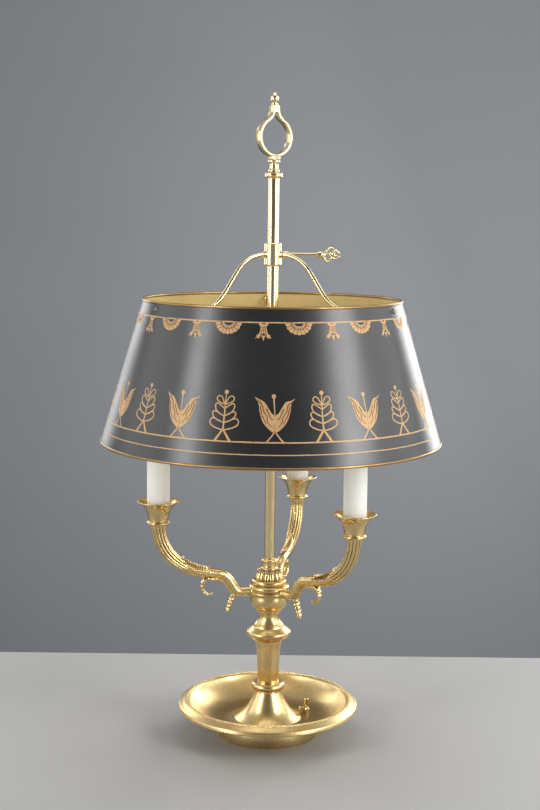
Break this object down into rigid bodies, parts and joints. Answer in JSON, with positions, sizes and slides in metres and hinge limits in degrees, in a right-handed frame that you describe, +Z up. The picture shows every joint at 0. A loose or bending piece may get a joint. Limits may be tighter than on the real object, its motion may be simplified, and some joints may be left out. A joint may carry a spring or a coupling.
{
  "type": "bouillotte lamp",
  "caption": "Table lamp with a dished brass base, turned column, cast scroll candle arms and a painted cone shade that slides and turns on a central rod.",
  "frame": {"origin": "centre of the foot ring's underside, on the table", "axes": "+Z up along the lamp rod, -Y towards the side the picture shows, +X to its right"},
  "size_m": [0.4158, 0.4158, 0.7874],
  "materials": {
    "aged_brass": "satin lacquered cast and spun brass, slightly tarnished",
    "bright_brass": "brushed and polished drawn brass",
    "rim_brass": "gilt copper-coloured wire edge",
    "black_tole": "satin black paint with gilt ornament",
    "iron": "raw cast iron",
    "steel": "zinc-plated steel",
    "felt": "green felt",
    "ivory": "ivory candle cover",
    "liner": "nylon",
    "phenolic": "black phenolic",
    "bulb_glass": "clear glass",
    "bulb_metal": "thin screw base"
  },
  "bodies": {
    "stand": {"foot_ring": "aged_brass", "base_tray": "aged_brass", "bead_ring": "aged_brass", "base_weight": "iron", "felt_pad": "felt", "cord_bush": "phenolic", "centre_pipe": "steel", "base_washer": "steel", "base_nut": "steel", "column_foot": "aged_brass", "column_ring": "aged_brass", "column_barrel": "aged_brass", "column_collar": "aged_brass", "column_neck": "aged_brass", "hub_body": "aged_brass", "hub_ring": "aged_brass", "hub_cap": "aged_brass", "rod_socket": "aged_brass", "lamp_rod": "bright_brass", "rod_cap": "bright_brass", "finial_stem": "bright_brass", "loop_handle": "bright_brass", "finial_button": "bright_brass", "arm_nuts": "steel", "switch_body": "phenolic", "switch_bushing": "bright_brass", "switch_nut": "bright_brass", "arm_left": "aged_brass", "cup_left": "aged_brass", "socket_left": "phenolic", "sleeve_left": "ivory", "bulb_base_left": "bulb_metal", "bulb_glass_left": "bulb_glass", "arm_right": "aged_brass", "cup_right": "aged_brass", "socket_right": "phenolic", "sleeve_right": "ivory", "bulb_base_right": "bulb_metal", "bulb_glass_right": "bulb_glass", "arm_back": "aged_brass", "cup_back": "aged_brass", "socket_back": "phenolic", "sleeve_back": "ivory", "bulb_base_back": "bulb_metal", "bulb_glass_back": "bulb_glass"},
    "slide_bush": {"collar_bush": "liner"},
    "shade_carriage": {"shade_collar": "bright_brass", "spider_arm_left": "bright_brass", "spider_arm_right": "bright_brass", "spider_arm_back": "bright_brass", "shade_shell": "black_tole", "shade_top_rim": "rim_brass", "shade_bottom_rim": "rim_brass", "shade_screws": "rim_brass", "shade_nuts": "bright_brass"},
    "clamp_key": {"shade_key": "bright_brass"},
    "switch_toggle": {"switch_lever": "bright_brass"}
  },
  "joints": [
    {"name": "shade_slide", "type": "slide", "parent": "stand", "child": "slide_bush", "axis": [0, 0, 1], "range_m": [-0.05, 0.075]},
    {"name": "shade_swivel", "type": "hinge", "parent": "slide_bush", "child": "shade_carriage", "pos_m": [0, 0, 0.596], "axis": [0, 0, 1], "continuous": true},
    {"name": "key_turn", "type": "hinge", "parent": "shade_carriage", "child": "clamp_key", "pos_m": [0.02898, 0.00776, 0.596], "axis": [0.9659, 0.2588, 0], "range_deg": [0, 360]},
    {"name": "switch_tilt", "type": "hinge", "parent": "stand", "child": "switch_toggle", "pos_m": [0.04575, 0.01756, 0.0201], "axis": [0, 1, 0], "range_deg": [-26, 0]}
  ]
}
